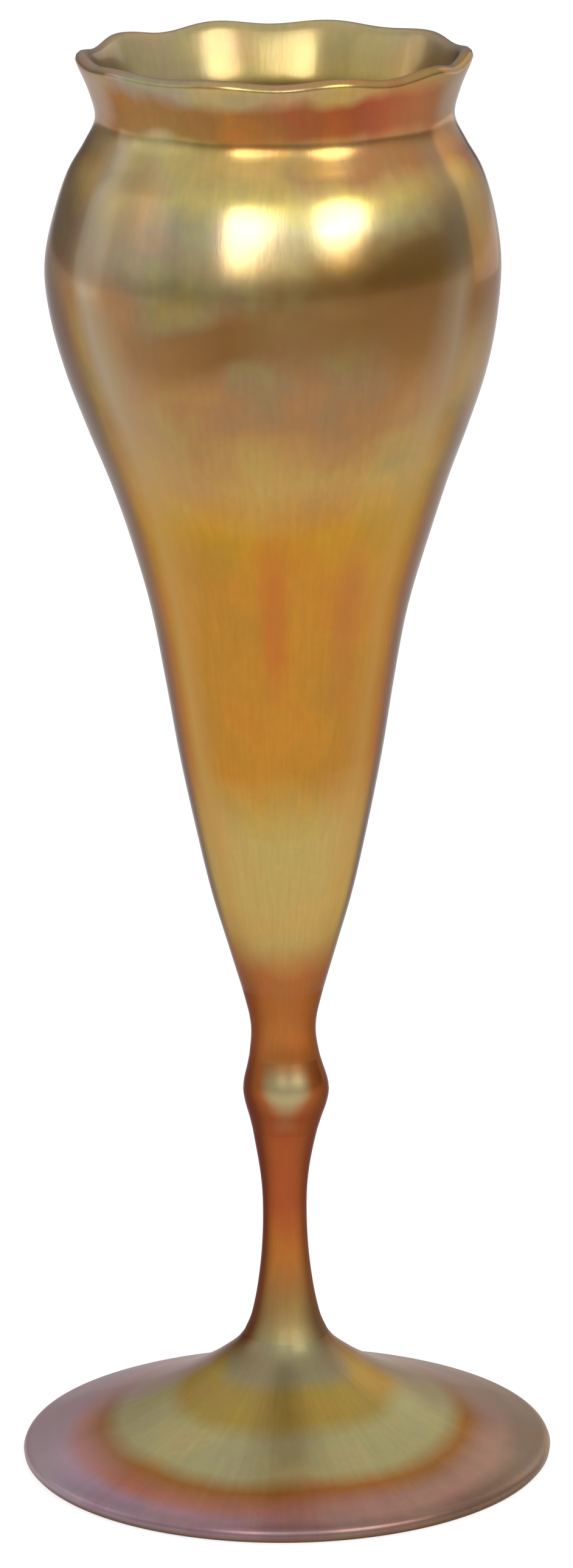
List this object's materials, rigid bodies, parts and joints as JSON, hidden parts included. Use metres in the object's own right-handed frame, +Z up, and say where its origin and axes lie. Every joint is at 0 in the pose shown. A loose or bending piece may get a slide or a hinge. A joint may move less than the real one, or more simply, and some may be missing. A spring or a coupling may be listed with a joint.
{
  "type": "floriform vase",
  "caption": "Tall floriform vase in gold lustred glass: hollow tulip bowl with a flared lip on a slim knopped stem and a spreading domed foot, for holding cut flowers.",
  "frame": {"origin": "on the vase's axis, in the plane of the ring that the foot stands on", "axes": "+Z up along the vase's axis, from the foot to the lip; +X and +Y each pass through the standing ring"},
  "size_m": [0.112, 0.112, 0.3005],
  "materials": {
    "gold_lustre_glass": "gold lustre over amber glass, glossy, with faint iridescence",
    "amber_stem_glass": "solid amber glass with a thin lustre, glossy",
    "foot_lustre_glass": "gold lustre with rings of green, rose and violet iridescence, glossy"
  },
  "bodies": {
    "root": {"bowl": "gold_lustre_glass", "upper_stem": "amber_stem_glass", "knop": "amber_stem_glass", "lower_stem": "amber_stem_glass", "foot": "foot_lustre_glass", "pontil_button": "amber_stem_glass"}
  },
  "joints": []
}
